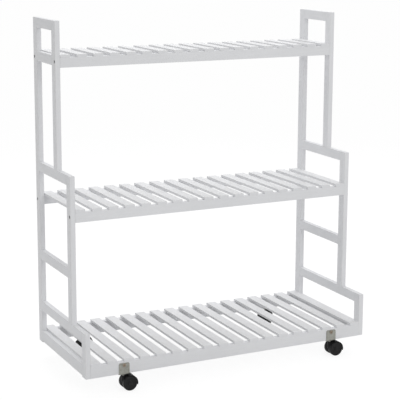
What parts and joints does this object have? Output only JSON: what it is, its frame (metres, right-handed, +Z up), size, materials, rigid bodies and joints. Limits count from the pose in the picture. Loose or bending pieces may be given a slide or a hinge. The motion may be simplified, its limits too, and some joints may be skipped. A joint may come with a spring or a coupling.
{
  "type": "rolling plant stand",
  "caption": "White painted wooden plant stand: stepped shelves of cross slats between two ladder-like side frames, rolling on small black twin-wheel casters.",
  "frame": {"origin": "on the floor, under the centre of the stand's footprint", "axes": "+Z up; +X to the right along the stand's width, seen from the front; +Y from the low front to the high back"},
  "size_m": [0.8, 0.3577, 0.9],
  "materials": {
    "white_paint": "solid wood under a smooth, satin white paint",
    "beech": "bare beech, hidden",
    "zinc_steel": "zinc-plated steel",
    "dark_steel": "dark nickel-plated steel",
    "passivated_steel": "steel with yellow-brown passivation",
    "black_hood": "satin moulded black plastic",
    "black_wheel": "smooth moulded black plastic"
  },
  "bodies": {
    "stand": {"rear_post_left": "white_paint", "rear_post_right": "white_paint", "upper_post_left": "white_paint", "upper_post_right": "white_paint", "middle_post_left": "white_paint", "middle_post_right": "white_paint", "front_post_left": "white_paint", "front_post_right": "white_paint", "top_rail_left": "white_paint", "top_rail_right": "white_paint", "shelf_rail_left": "white_paint", "shelf_rail_right": "white_paint", "middle_rail_left": "white_paint", "middle_rail_right": "white_paint", "rung_left": "white_paint", "rung_right": "white_paint", "lower_rail_left": "white_paint", "lower_rail_right": "white_paint", "bottom_rail_left": "white_paint", "bottom_rail_right": "white_paint", "top_front_rail": "white_paint", "top_back_rail": "white_paint", "top_slats": "white_paint", "middle_front_rail": "white_paint", "middle_back_rail": "white_paint", "middle_slats": "white_paint", "bottom_front_rail": "white_paint", "bottom_back_rail": "white_paint", "bottom_slats": "white_paint", "shelf_bolts": "dark_steel", "barrel_nuts": "zinc_steel", "frame_dowels": "beech", "shelf_dowels": "beech", "slat_pins": "zinc_steel", "caster_brackets": "zinc_steel", "face_screws": "passivated_steel", "plate_screws": "zinc_steel", "caster_stems": "zinc_steel"},
    "front_left_caster": {"front_left_hood": "black_hood", "front_left_axle": "zinc_steel"},
    "front_left_caster_wheel_left": {"front_left_wheel_left": "black_wheel"},
    "front_left_caster_wheel_right": {"front_left_wheel_right": "black_wheel"},
    "front_right_caster": {"front_right_hood": "black_hood", "front_right_axle": "zinc_steel"},
    "front_right_caster_wheel_left": {"front_right_wheel_left": "black_wheel"},
    "front_right_caster_wheel_right": {"front_right_wheel_right": "black_wheel"},
    "rear_left_caster": {"rear_left_hood": "black_hood", "rear_left_axle": "zinc_steel"},
    "rear_left_caster_wheel_left": {"rear_left_wheel_left": "black_wheel"},
    "rear_left_caster_wheel_right": {"rear_left_wheel_right": "black_wheel"},
    "rear_right_caster": {"rear_right_hood": "black_hood", "rear_right_axle": "zinc_steel"},
    "rear_right_caster_wheel_left": {"rear_right_wheel_left": "black_wheel"},
    "rear_right_caster_wheel_right": {"rear_right_wheel_right": "black_wheel"}
  },
  "joints": [
    {"name": "front_left_swivel", "type": "hinge", "parent": "stand", "child": "front_left_caster", "pos_m": [-0.299, -0.1625, 0.0335], "axis": [0, 0, 1], "continuous": true},
    {"name": "front_left_wheel_left_spin", "type": "hinge", "parent": "front_left_caster", "child": "front_left_caster_wheel_left", "pos_m": [-0.286, -0.1625, 0.0185], "axis": [0, 1, 0], "continuous": true},
    {"name": "front_left_wheel_right_spin", "type": "hinge", "parent": "front_left_caster", "child": "front_left_caster_wheel_right", "pos_m": [-0.286, -0.1625, 0.0185], "axis": [0, 1, 0], "continuous": true},
    {"name": "front_right_swivel", "type": "hinge", "parent": "stand", "child": "front_right_caster", "pos_m": [0.299, -0.1625, 0.0335], "axis": [0, 0, 1], "continuous": true},
    {"name": "front_right_wheel_left_spin", "type": "hinge", "parent": "front_right_caster", "child": "front_right_caster_wheel_left", "pos_m": [0.312, -0.1625, 0.0185], "axis": [0, 1, 0], "continuous": true},
    {"name": "front_right_wheel_right_spin", "type": "hinge", "parent": "front_right_caster", "child": "front_right_caster_wheel_right", "pos_m": [0.312, -0.1625, 0.0185], "axis": [0, 1, 0], "continuous": true},
    {"name": "rear_left_swivel", "type": "hinge", "parent": "stand", "child": "rear_left_caster", "pos_m": [-0.29, 0.1625, 0.0335], "axis": [0, 0, 1], "continuous": true},
    {"name": "rear_left_wheel_left_spin", "type": "hinge", "parent": "rear_left_caster", "child": "rear_left_caster_wheel_left", "pos_m": [-0.28164, 0.15254, 0.0185], "axis": [0.766, 0.6428, 0], "continuous": true},
    {"name": "rear_left_wheel_right_spin", "type": "hinge", "parent": "rear_left_caster", "child": "rear_left_caster_wheel_right", "pos_m": [-0.28164, 0.15254, 0.0185], "axis": [0.766, 0.6428, 0], "continuous": true},
    {"name": "rear_right_swivel", "type": "hinge", "parent": "stand", "child": "rear_right_caster", "pos_m": [0.29, 0.1625, 0.0335], "axis": [0, 0, 1], "continuous": true},
    {"name": "rear_right_wheel_left_spin", "type": "hinge", "parent": "rear_right_caster", "child": "rear_right_caster_wheel_left", "pos_m": [0.28004, 0.15414, 0.0185], "axis": [0.6428, -0.766, 0], "continuous": true},
    {"name": "rear_right_wheel_right_spin", "type": "hinge", "parent": "rear_right_caster", "child": "rear_right_caster_wheel_right", "pos_m": [0.28004, 0.15414, 0.0185], "axis": [0.6428, -0.766, 0], "continuous": true}
  ]
}
